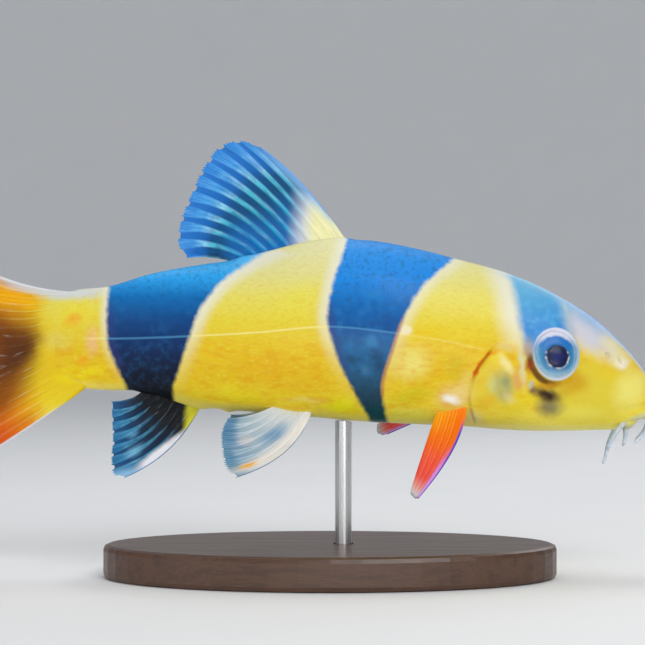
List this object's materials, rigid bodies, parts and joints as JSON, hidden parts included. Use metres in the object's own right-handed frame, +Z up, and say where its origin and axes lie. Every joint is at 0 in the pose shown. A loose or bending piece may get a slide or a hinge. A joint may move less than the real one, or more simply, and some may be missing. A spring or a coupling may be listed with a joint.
{
  "type": "clown loach",
  "caption": "Life-size still model of a clown loach with a banded body, spread fins, a forked tail and barbels, held over a flat oval base by a rod.",
  "frame": {"origin": "centre of the stand base's underside, on the surface that the model stands on", "axes": "+X towards the fish's snout, +Y towards its left side, +Z up"},
  "size_m": [0.1176, 0.034, 0.0654],
  "materials": {
    "head_skin": "wet, glossy fish skin: yellow with a light blue band through the eye",
    "flank_skin": "wet, glossy fish skin: bright yellow with a dark blue band",
    "tail_skin": "wet, glossy fish skin: golden yellow behind a navy blue band",
    "eye": "clear cornea over a blue iris and a dark pupil",
    "dorsal_fin": "blue membrane with paler rays and a cream front base",
    "anal_fin": "near black to blue membrane with blue rays and a white front edge",
    "caudal_fin": "yellow base running to brown and orange, with pale rays and white outer edges",
    "pelvic_fins": "whitish, half clear membrane with blue-grey smudges",
    "pectoral_fins": "orange to coral membrane with a pale tip and a violet front edge",
    "barbels": "soft pale grey skin",
    "stand_wood": "dark stained wood, satin varnish",
    "stand_steel": "brushed along its length"
  },
  "bodies": {
    "root": {"head": "head_skin", "torso": "flank_skin", "tail_stalk": "tail_skin", "eye_right": "eye", "eye_left": "eye", "dorsal_fin": "dorsal_fin", "anal_fin": "anal_fin", "caudal_fin_upper": "caudal_fin", "caudal_fin_lower": "caudal_fin", "pelvic_fin_right": "pelvic_fins", "pelvic_fin_left": "pelvic_fins", "pectoral_fin_right": "pectoral_fins", "pectoral_fin_left": "pectoral_fins", "barbel_corner_right": "barbels", "barbel_corner_left": "barbels", "barbel_chin_right": "barbels", "barbel_chin_left": "barbels", "barbel_outer_right": "barbels", "barbel_outer_left": "barbels", "barbel_inner_right": "barbels", "barbel_inner_left": "barbels", "stand_base": "stand_wood", "stand_rod": "stand_steel"}
  },
  "joints": []
}
